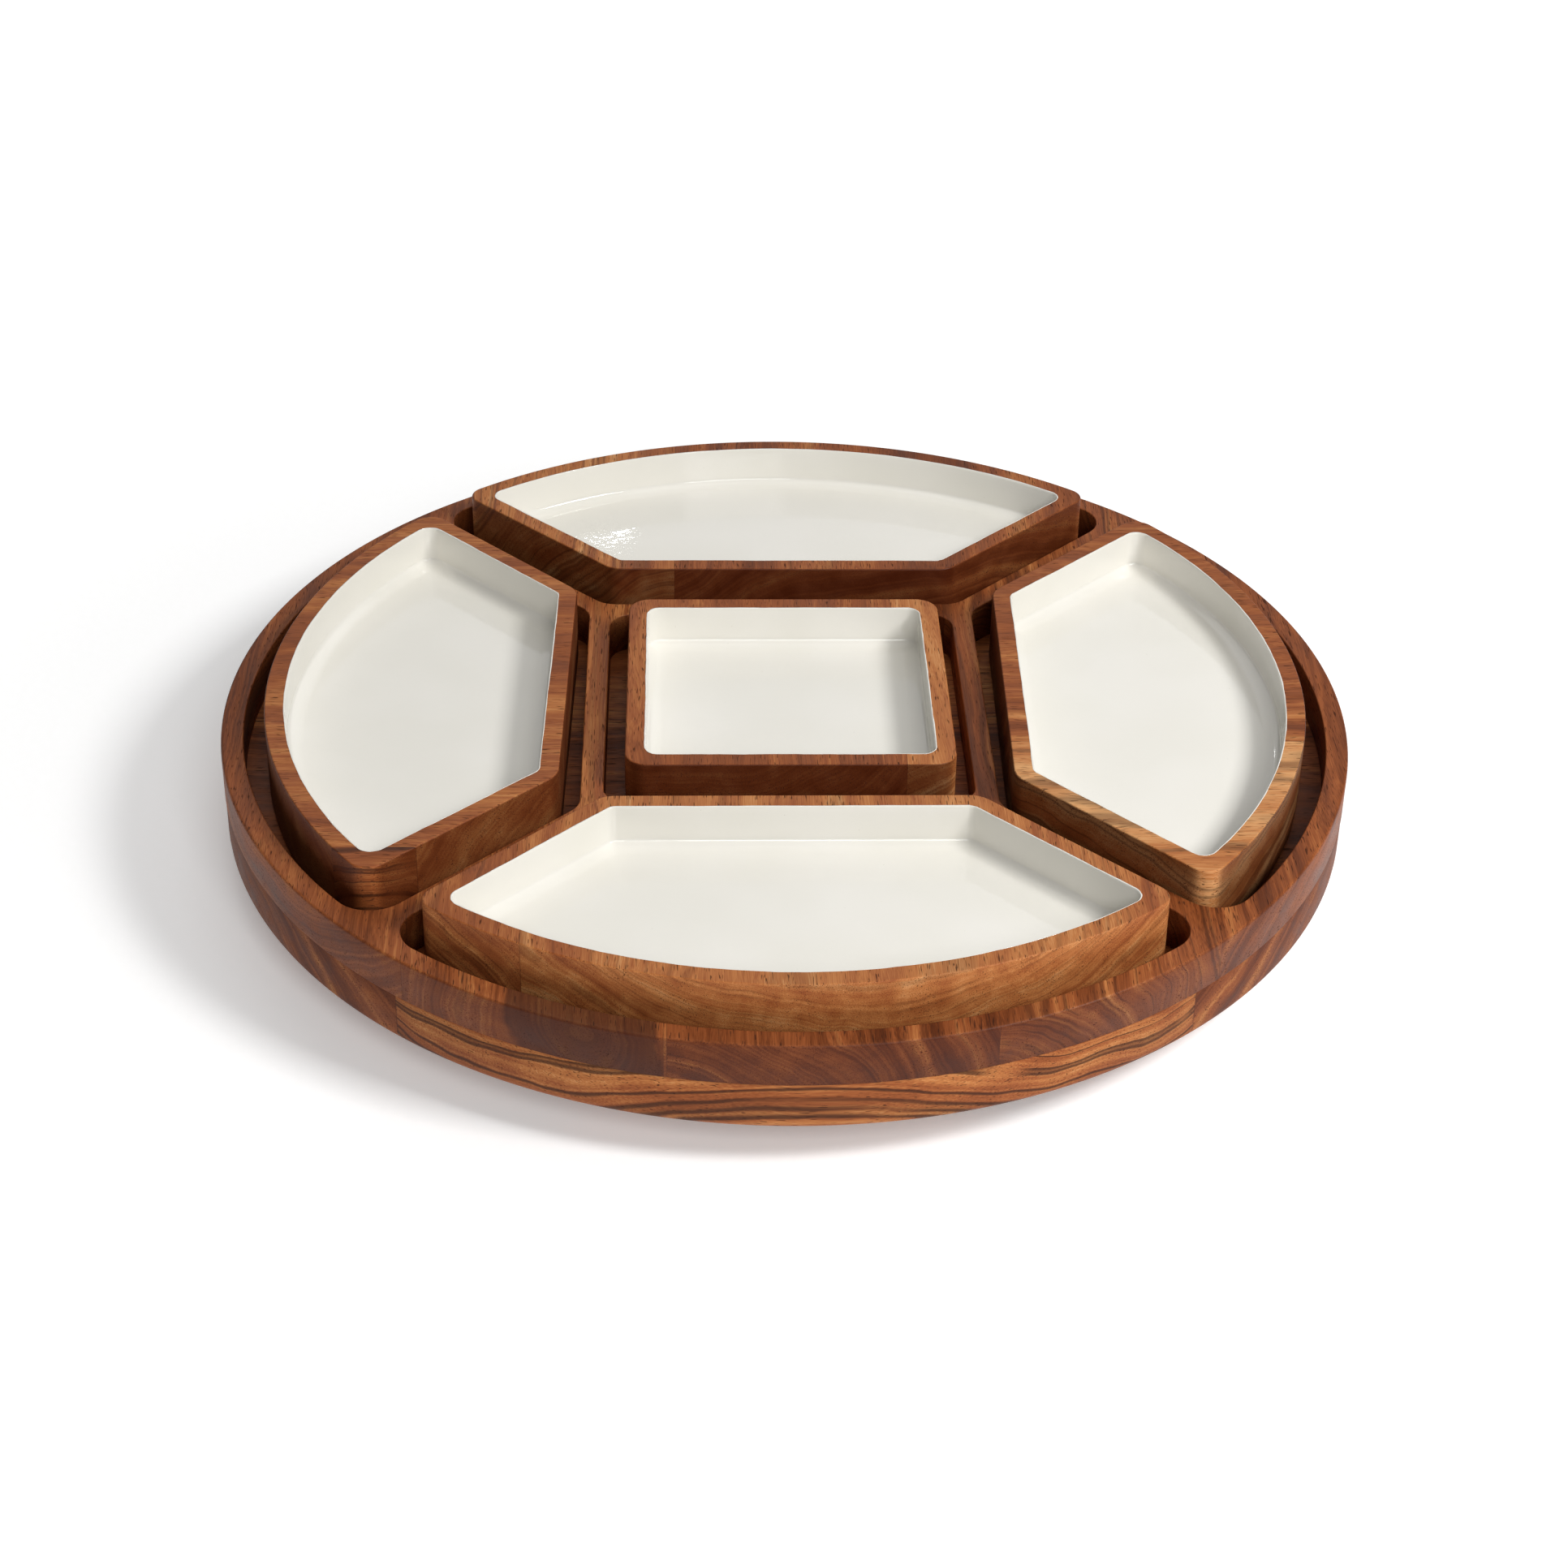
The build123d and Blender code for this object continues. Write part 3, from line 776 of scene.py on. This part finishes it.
# How far a surface faces along the grain before it counts as end grain, and fully so.
END_GRAIN_FACES = (0.25, 0.9)


def heart_share(put, rings, ribbon, down_log, heart):
    """Dark heart near the pith, with an uneven edge. It runs out along the log."""
    edge = put("Math", {0: ribbon, 1: HEART_RAGGED, 2: rings}, operation="MULTIPLY_ADD")
    edge = put("Math", {0: heart, 1: edge}, operation="SUBTRACT")
    low, high = HEART_EDGE
    inside = put("MapRange", {0: edge, 1: low, 2: high, 3: 0.0, 4: HEART_SHARE}, **SMOOTH)
    gone, full = HEART_FADES
    near_end = put("MapRange", {0: down_log, 1: gone, 2: full, 3: 0.0, 4: 1.0}, **SMOOTH)
    return put("Math", {0: inside, 1: near_end}, operation="MULTIPLY")


def streak_share(put, rings, bent, streaks):
    """Black streaks where a slow ring noise crosses its middle, so that their width varies."""
    slow = ring_noise(put, rings, STREAK_RING, 0.0)
    off_middle = put("Math", {0: slow, 1: 0.5}, operation="SUBTRACT")
    off_middle = put("Math", {0: off_middle}, operation="ABSOLUTE")
    full, gone = STREAK_EDGE
    line = put("MapRange", {0: off_middle, 1: full, 2: gone, 3: 1.0, 4: 0.0}, **SMOOTH)
    patch = grain_noise(put, bent, *PATCH)
    patch = put("Math", {0: streaks, 1: PATCH_LIFT, 2: patch}, operation="MULTIPLY_ADD")
    low, high = PATCH_EDGE
    patch = put("MapRange", {0: patch, 1: low, 2: high, 3: 0.0, 4: 1.0}, **SMOOTH)
    for share in (patch, streaks, STREAK_SHARE):
        line = put("Math", {0: line, 1: share}, operation="MULTIPLY")
    return line


def open_pores(put, from_pith, broad):
    """1 in a pore, else 0. Pores are closer together in the pale bands."""
    noise = grain_noise(put, from_pith, *PORE, 0.0)
    level = put("Math", {0: broad, 1: PORE_CROWDING, 2: PORE_LEVEL}, operation="MULTIPLY_ADD")
    above = put("Math", {0: noise, 1: level}, operation="SUBTRACT")
    return put("MapRange", {0: above, 1: 0.0, 2: PORE_EDGE, 3: 0.0, 4: 1.0}, **SMOOTH)


def end_grain_and_shade_share(put, along, end_grain_and_shade):
    """How far the surface faces along the grain, from the piece's own normal: the share of darkening for
    end grain's oil and for painted shade.
    """
    facing = put("SeparateXYZ", {0: put("TexCoord", out="Normal")}, out="xy".index(along))
    facing = put("Math", {0: facing}, operation="ABSOLUTE")
    low, high = END_GRAIN_FACES
    return put("MapRange", {0: facing, 1: low, 2: high, 3: 0.0, 4: end_grain_and_shade}, **SMOOTH)


print(f"dark heart from {-HEART_FADES[0]:.0f} mm in front of the axis, full at {-HEART_FADES[1]:.0f} mm")

# %% Colour of the wood
WOOD_STOPS = (
    (0.0, "#421d0c"),
    (0.28, "#6c3618"),
    (0.52, "#925029"),
    (0.74, "#b4723f"),
    (1.0, "#d49f6a"),
)
# The end-grain brown darkens end grain, partly for its oil and partly as painted shade.
HEART_BROWN, STREAK_BLACK, PORE_BROWN, END_GRAIN_AND_SHADE_BROWN = "#3b2015", "#2f170d", "#2e160c", "#3a0e02"
# How far the rings, the ribbon figure and single fibres move a stave's tone.
BROAD_WEIGHT, FINE_WEIGHT, RIBBON_WEIGHT, FIBRE_WEIGHT = 0.9, 0.34, 0.5, 0.46
PORE_SHARE, GLUE_SHARE = 0.75, 0.45


def toned(put, tone, weights):
    """The stave's own tone, moved by each part of the figure, as a colour."""
    shade = tone
    for part, weight in weights:
        centred = put("Math", {0: part, 1: 0.5}, operation="SUBTRACT")
        shade = put("Math", {0: centred, 1: weight, 2: shade}, operation="MULTIPLY_ADD")
    return put("ValToRGB", {0: shade}, stops=[(place, color(code)) for place, code in WOOD_STOPS])


def darkened(put, wood, layers):
    """The wood turned towards each layer's dark colour by that layer's amount."""
    for amount, code in layers:
        mixed = {FACTOR: amount, COLOR_A: wood, COLOR_B: color(code)}
        wood = put("Mix", mixed, out=2, data_type="RGBA")
    return wood


print("wood runs from", WOOD_STOPS[0][1], "to", WOOD_STOPS[-1][1])

# %% The finished wood
# Roughness where the fibres are full of oil and where they are dry, and what a pore adds.
OILED, DRY, PORE_ROUGH = 0.42, 0.56, 0.25
# Fibres stand up, and pores and glue lines lie deep, as shares of BUMP_DEPTH.
FIBRE_HEIGHT, PORE_HEIGHT, GLUE_HEIGHT = 0.18, -0.5, -0.4
BUMP_DEPTH, BUMP_STRENGTH = 0.2 * MM, 0.35


def acacia(name, board):
    """Oiled solid acacia: sawn, glued, sanded to about 240 grit and rubbed with oil.

    It gives the eye a satin red-brown surface with darker rings, black streaks, open pores
    that look like short dark dashes along the grain, and a change of figure at each joint.
    End grain drinks more oil, so it is darker, and it is darkened further as painted shade where its faces
    stand in the gaps.
    """
    material, put = new_material(name)
    axis, staves = STAVES[board]
    figure, end_grain_and_shade = BOARD_LOOKS[board]

    # Turned so that the staves run along y, in millimetres.
    quarter = math.pi / 2 if axis == "x" else 0.0
    point = put("TexCoord", out="Object")
    grain = put("Mapping", {0: point, "Scale": (1 / MM,) * 3, "Rotation": (0, 0, -quarter)})
    across, down_log, _ = put("SeparateXYZ", {0: grain}).node.outputs
    place, look = stave_values(put, across, staves)
    tone, heart, streaks = put("SeparateXYZ", {0: look}).node.outputs
    from_pith = put("VectorMath", {0: grain, 1: place}, operation="SUBTRACT")
    bent, rings = round_the_pith(put, from_pith)

    # The parts of the figure.
    broad = ring_noise(put, rings, BROAD_RING, 3.0)
    fine = ring_noise(put, rings, FINE_RING, 1.0)
    ribbon = grain_noise(put, bent, *RIBBON, 2.0)
    fibre = grain_noise(put, bent, *FIBRE)
    pores = open_pores(put, from_pith, broad)
    glue = glue_lines(put, across, staves)

    weights = (
        (broad, BROAD_WEIGHT * figure),
        (fine, FINE_WEIGHT * figure),
        (ribbon, RIBBON_WEIGHT),
        (fibre, FIBRE_WEIGHT),
    )
    layers = (
        (heart_share(put, rings, ribbon, down_log, heart), HEART_BROWN),
        (streak_share(put, rings, bent, streaks), STREAK_BLACK),
        (put("Math", {0: pores, 1: PORE_SHARE}, operation="MULTIPLY"), PORE_BROWN),
        (put("Math", {0: glue, 1: GLUE_SHARE}, operation="MULTIPLY"), PORE_BROWN),
        # End grain is darkened for its oil and, further, as painted shade in the gaps.
        (end_grain_and_shade_share(put, axis, end_grain_and_shade), END_GRAIN_AND_SHADE_BROWN),
    )
    wood = darkened(put, toned(put, tone, weights), layers)

    # Oil fills the fibres unevenly, and a pore scatters light.
    rough = put("MapRange", {0: ribbon, 1: NOISE_LOW, 2: NOISE_HIGH, 3: OILED, 4: DRY})
    rough = put("Math", {0: pores, 1: PORE_ROUGH, 2: rough}, operation="MULTIPLY_ADD")
    depth = 0.0
    for part, share in ((fibre, FIBRE_HEIGHT), (pores, PORE_HEIGHT), (glue, GLUE_HEIGHT)):
        depth = put("Math", {0: part, 1: share, 2: depth}, operation="MULTIPLY_ADD")
    bump = put("Bump", {"Height": depth, "Strength": BUMP_STRENGTH, "Distance": BUMP_DEPTH})
    skin = {"Base Color": wood, "Roughness": rough, "Normal": bump, "IOR": 1.45}
    shader = put("BsdfPrincipled", skin | {"Specular IOR Level": 0.2})
    put("OutputMaterial", {"Surface": shader})
    return material


for bowl, piece in wood_pieces.items():
    piece.data.materials.append(acacia(f"acacia oiled {bowl} bowl", bowl))
upper.data.materials.append(acacia("acacia oiled tray upper", "tray_upper"))
lower.data.materials.append(acacia("acacia oiled tray lower", "tray_lower"))
wood_base = acacia("acacia oiled base", "base")
for piece in (*wood_pieces.values(), upper, lower):
    print(piece.name, "in", piece.data.materials[0].name)

# %% [markdown]
# ## Enamel
#
# The enamel is sprayed and baked, so it flows out smooth and glossy with a faint orange
# peel and a few pinholes. A plain glossy white could stand for it, but then reflections
# would have hard edges that give it away. So two soft noises bend its surface.

# %% Enamel
# Millimetres: the orange peel, the slow waves under it, and the distance of pinholes.
PEEL, WAVES, PINHOLES = 3.5, 40, 9
# How many times the peel's height the waves have.
WAVE_SHARE = 4.0
# Shares of PINHOLES: radius of a hole, and of its soft edge.
PINHOLE_RADIUS = (0.018, 0.03)


def enamel_finish():
    """Cream-white baked enamel, sprayed: glossy, with an orange peel of 3.5 mm."""
    material, put = new_material("enamel baked glossy")
    point = put("TexCoord", out="Object")
    peel = put("TexNoise", {0: point, "Scale": 1 / (PEEL * MM), "Detail": 1.0})
    waves = put("TexNoise", {0: point, "Scale": 1 / (WAVES * MM), "Detail": 1.0})
    tint = put("ValToRGB", {0: waves}, stops=[(0.35, color("#e3e0d7")), (0.65, color("#e6e3db"))])
    specks = put("TexVoronoi", {"Vector": point, "Scale": 1 / (PINHOLES * MM)})
    hole, edge = PINHOLE_RADIUS
    specks = put("MapRange", {0: specks, 1: hole, 2: edge, 3: 0.35, 4: 0.0})
    speckled = {FACTOR: specks, COLOR_A: tint, COLOR_B: color("#b9b2a4")}
    tint = put("Mix", speckled, out=2, data_type="RGBA")
    rough = put("MapRange", {0: waves, 1: NOISE_LOW, 2: NOISE_HIGH, 3: 0.045, 4: 0.07})
    level = put("Math", {0: waves, 1: WAVE_SHARE, 2: peel}, operation="MULTIPLY_ADD")
    bump = put("Bump", {"Height": level, "Strength": 0.32, "Distance": 0.1 * MM})
    skin = {"Base Color": tint, "Roughness": rough, "Normal": bump, "IOR": 1.5}
    put("OutputMaterial", {"Surface": put("BsdfPrincipled", skin)})
    return material


enamel = enamel_finish()
for piece in enamel_pieces.values():
    piece.data.materials.append(enamel)
print(enamel.name, "on", len(enamel_pieces), "linings")

# %% [markdown]
# ## Steel, nylon and rubber
#
# Below the tray are zinc-plated pressed steel, bright bearing steel, moulded nylon and
# rubber. They show only from below, but a turned-over tray is looked at too. Their CAD
# shapes are already right, so they keep them and only get a finish.

# %% Steel
# Millimetres: the crystals in the zinc, smears left by hands, and a scratch (across, along).
SPANGLE, SMEAR, SCRATCH = 3.5, 14, (0.25, 2.5)


def plated_steel():
    """Zinc-plated pressed sheet: grey, spangled in patches of some millimetres, and rubbed."""
    material, put = new_material("steel zinc plated")
    point = put("TexCoord", out="Object")
    spangle = put("TexVoronoi", {"Vector": point, "Scale": 1 / (SPANGLE * MM)}, out="Color")
    patch = put("SeparateXYZ", {0: spangle})
    smear = put("TexNoise", {0: point, "Scale": 1 / (SMEAR * MM), "Detail": 4.0})
    mixed = put("Math", {0: patch, 1: 0.35, 2: smear}, operation="MULTIPLY_ADD")
    tint = put("ValToRGB", {0: mixed}, stops=[(0.4, color("#a9abad")), (0.9, color("#cfd1d2"))])
    rough = put("MapRange", {0: mixed, 1: 0.3, 2: 0.9, 3: 0.46, 4: 0.28})
    bump = put("Bump", {"Height": smear, "Strength": 0.2, "Distance": 0.1 * MM})
    skin = {"Base Color": tint, "Metallic": 1.0, "Roughness": rough, "Normal": bump}
    put("OutputMaterial", {"Surface": put("BsdfPrincipled", skin)})
    return material


def bright_steel(name, code, low, high):
    """Ground or turned steel: bright, with faint scratches a quarter of a millimetre wide."""
    material, put = new_material(name)
    across, along = (1 / (size * MM) for size in SCRATCH)
    point = put("TexCoord", out="Object")
    scratch = put("Mapping", {0: point, "Scale": (along, along, across)})
    scratch = put("TexNoise", {0: scratch, "Scale": 1.0, "Detail": 3.0})
    rough = put("MapRange", {0: scratch, 1: NOISE_LOW, 2: NOISE_HIGH, 3: low, 4: high})
    bump = put("Bump", {"Height": scratch, "Strength": 0.1, "Distance": 0.02 * MM})
    tint = put("ValToRGB", {0: scratch}, stops=[(0.3, color("#8f9091")), (0.7, color(code))])
    skin = {"Base Color": tint, "Metallic": 1.0, "Roughness": rough, "Normal": bump}
    put("OutputMaterial", {"Surface": put("BsdfPrincipled", skin)})
    return material


print(f"scratches {SCRATCH[0]} mm wide, zinc crystals {SPANGLE} mm")

# %% Nylon and rubber, and who gets what
DUST = 6


def moulded(name, dark, pale, low, high, grit):
    """Moulded rubber or nylon: nearly one colour, with a matt texture of grit millimetres."""
    material, put = new_material(name)
    point = put("TexCoord", out="Object")
    texture = put("TexNoise", {0: point, "Scale": 1 / (grit * MM), "Detail": 4.0})
    dust = put("TexNoise", {0: point, "Scale": 1 / (DUST * MM), "Detail": 3.0})
    tint = put("ValToRGB", {0: dust}, stops=[(0.35, color(dark)), (0.75, color(pale))])
    rough = put("MapRange", {0: dust, 1: NOISE_LOW, 2: NOISE_HIGH, 3: low, 4: high})
    bump = put("Bump", {"Height": texture, "Strength": 0.3, "Distance": 0.05 * MM})
    skin = {"Base Color": tint, "Roughness": rough, "Normal": bump}
    put("OutputMaterial", {"Surface": put("BsdfPrincipled", skin)})
    return material


feet = [f"rubber_foot_{number}" for number in (1, 2, 3, 4)]
FINISHES = {
    plated_steel(): ["turntable_upper_plate", "turntable_lower_plate", "hub_eyelet"],
    bright_steel("steel bearing ball ground", "#c9cbcc", 0.08, 0.16): ["turntable_balls"],
    bright_steel("steel screw turned", "#b4b2a8", 0.24, 0.4): ["base_screws", "tray_screws"],
    moulded("nylon moulded", "#d8d4c6", "#e6e2d6", 0.38, 0.5, 0.4): ["ball_cage"],
    moulded("rubber moulded", "#17171a", "#2a292a", 0.6, 0.8, 0.5): feet,
    wood_base: ["base_disc"],
}
for finish, nodes in FINISHES.items():
    for node in nodes:
        for material_slot in bpy.data.objects[node].material_slots:
            material_slot.material = finish
    print(finish.name, "on", ", ".join(nodes))

# %% [markdown]
# ## Studio
#
# A catalogue table top: a pale paper sweep in a dim white room. One soft box stands to the
# front right, 0.4 m wide and 1.6 m away, so that shadows inside the bowls have an edge
# some 8 mm soft. A wide light in front fills the shaded sides, a weaker one hangs
# overhead, and a long white backdrop puts a sheen on level wood and enamel. A card 36 mm
# long behind the tray gives the enamel one bright reflection. Sunlight would be simpler,
# but its shadows are too hard for a table top. The sweep gives a little light of its own,
# so that it stays white round the shadow.

# %% Floor
FLOOR_HALF = 6.0
# The sweep glows with painted light of its own, more strongly beyond the tray: metres, and strengths.
GLOW_REACH, GLOW_STRENGTH = (0.24, 0.8), (0.22, 0.66)
MOTTLE = 3


def floor_finish():
    """Matt white paper sweep with a painted glow of its own, weaker near the tray, and a faint mottle."""
    material, put = new_material("paper sweep matt")
    point = put("TexCoord", out="Object")
    mottle = put("TexNoise", {0: point, "Scale": 1 / (MOTTLE * MM), "Detail": 2.0})
    tint = put("ValToRGB", {0: mottle}, stops=[(0.3, color("#f7f7f6")), (0.7, color("#fafafa"))])
    paper = {"Base Color": tint, "Roughness": 0.9, "Specular IOR Level": 0.1}
    away = put("VectorMath", {0: point}, out=1, operation="LENGTH")
    (near, far), (weak, strong) = GLOW_REACH, GLOW_STRENGTH
    # Painted glow: the sweep emits light, less near the tray so that the shadow there stays.
    glow = put("MapRange", {0: away, 1: near, 2: far, 3: weak, 4: strong}, **SMOOTH)
    paper |= {"Emission Color": (1, 1, 1, 1), "Emission Strength": glow}
    put("OutputMaterial", {"Surface": put("BsdfPrincipled", paper)})
    return material


mesh = bpy.data.meshes.new("floor")
signs = ((-1, -1), (1, -1), (1, 1), (-1, 1))
mesh.from_pydata([(x * FLOOR_HALF, y * FLOOR_HALF, 0) for x, y in signs], [], [(0, 1, 2, 3)])
mesh.materials.append(floor_finish())
floor = bpy.data.objects.new("floor", mesh)
bpy.context.scene.collection.objects.link(floor)
print("sweep", 2 * FLOOR_HALF, "m wide")

# %% Lights
# For each light: its place, the point that it faces, its width and depth, and its watts.
AXIS = (0, 0, 0)
LIGHTS = {
    "key": ((0.98, -0.62, 1.16), AXIS, (0.40, 0.40), 17.5),
    "top": ((0.0, 0.6, 2.0), AXIS, (1.0, 1.0), 3.5),
    "fill": ((0.5, -2.5, 2.0), AXIS, (1.2, 1.2), 36.0),
    "backdrop": ((0.0, 2.6, 1.75), AXIS, (3.4, 1.5), 13.0),
    "card": ((-0.114, 1.38, 0.701), (0, 0.1, 0.05), (0.036, 0.012), 0.035),
}
# The room's light on the object, and the white that the camera sees past the floor.
ROOM_LIGHT, PAST_THE_FLOOR = 0.17, 1.1
WHITE = (1, 1, 1, 1)


def soft_box(name, place, target, size, power):
    """Rectangular area light at place that faces target."""
    light = bpy.data.lights.new(name, "AREA")
    light.shape, light.energy = "RECTANGLE", power
    light.size, light.size_y = size
    lamp = bpy.data.objects.new(name, light)
    lamp.location = place
    aim = Vector(target) - Vector(place)
    lamp.rotation_euler = aim.to_track_quat("-Z", "Y").to_euler()
    bpy.context.scene.collection.objects.link(lamp)
    print(f"{name}: {power} W, {aim.length:.2f} m away")


for name, values in LIGHTS.items():
    soft_box(name, *values)
room = bpy.data.worlds.new("room")
room.use_nodes = True
room.node_tree.nodes.clear()
put = partial(add, room.node_tree)
dim = put("Background", {"Color": WHITE, "Strength": ROOM_LIGHT})
bright = put("Background", {"Color": WHITE, "Strength": PAST_THE_FLOOR})
both = put("MixShader", {0: put("LightPath", out="Is Camera Ray"), 1: dim, 2: bright})
put("OutputWorld", {"Surface": both})
bpy.context.scene.world = room
bpy.context.scene.view_settings.view_transform = "Standard"

# %% [markdown]
# ## Camera
#
# A standing guest's view: 33 degrees down, 2 degrees round to the left, from 1.23 m, with
# a 72 mm lens on a 36 mm sensor. The camera leans by one degree, as a hand-set one does.

# %% Camera
AIM = Vector((-2.1, -60.6, TRAY_TOP)) * MM
AZIMUTH, ELEVATION, ROLL = map(math.radians, (-2.05, 33.06, 1.0))
DISTANCE = 1.2264
LENS, SENSOR = 71.58, 36.0
FARTHEST = 50.0

back = Vector((
    math.sin(AZIMUTH) * math.cos(ELEVATION),
    -math.cos(AZIMUTH) * math.cos(ELEVATION),
    math.sin(ELEVATION),
))
view = bpy.data.cameras.new("camera")
view.lens, view.sensor_width, view.clip_end = LENS, SENSOR, FARTHEST
camera = bpy.data.objects.new("camera", view)
turn = back.to_track_quat("Z", "Y").to_matrix() @ Matrix.Rotation(ROLL, 3, "Z")
camera.matrix_world = Matrix.Translation(AIM + back * DISTANCE) @ turn.to_4x4()
bpy.context.scene.collection.objects.link(camera)
bpy.context.scene.camera = camera
print("camera at", [round(c, 4) for c in camera.location], "right", [round(c, 4) for c in turn.col[0]])
